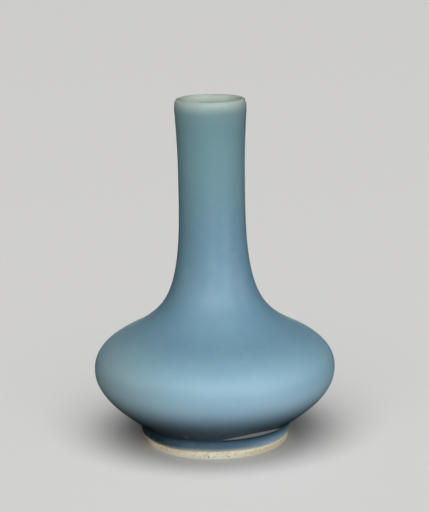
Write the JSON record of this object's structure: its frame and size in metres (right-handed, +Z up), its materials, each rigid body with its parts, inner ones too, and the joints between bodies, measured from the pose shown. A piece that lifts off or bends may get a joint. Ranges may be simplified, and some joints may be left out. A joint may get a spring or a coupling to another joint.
{
  "type": "bottle vase",
  "caption": "Porcelain bottle vase with a tall slender neck, a squat round belly, sky blue glaze, a pale lip and a bare turned foot ring.",
  "frame": {"origin": "on the vase's axis, in the plane that the foot ring stands on", "axes": "+Z up along the vase's axis, from the foot to the mouth; +X and +Y are level, and the vase is round about +Z"},
  "size_m": [0.1158, 0.1158, 0.165],
  "materials": {
    "porcelain": "cream porcelain, fired and bare at the foot, fine grained and matt",
    "luting_slip": "fired porcelain slip, matt",
    "blue_glaze": "pale sky blue glaze, satin to glossy, thin at the lip and pooled above the foot",
    "white_glaze": "greenish white glaze, glossy",
    "clear_glaze": "thin clear glaze over porcelain, glossy"
  },
  "bodies": {
    "root": {"neck": "porcelain", "upper_body": "porcelain", "lower_body": "porcelain", "neck_luting_slip": "luting_slip", "belly_luting_slip": "luting_slip", "outer_glaze": "blue_glaze", "lining_glaze": "white_glaze", "base_glaze": "clear_glaze"}
  },
  "joints": []
}
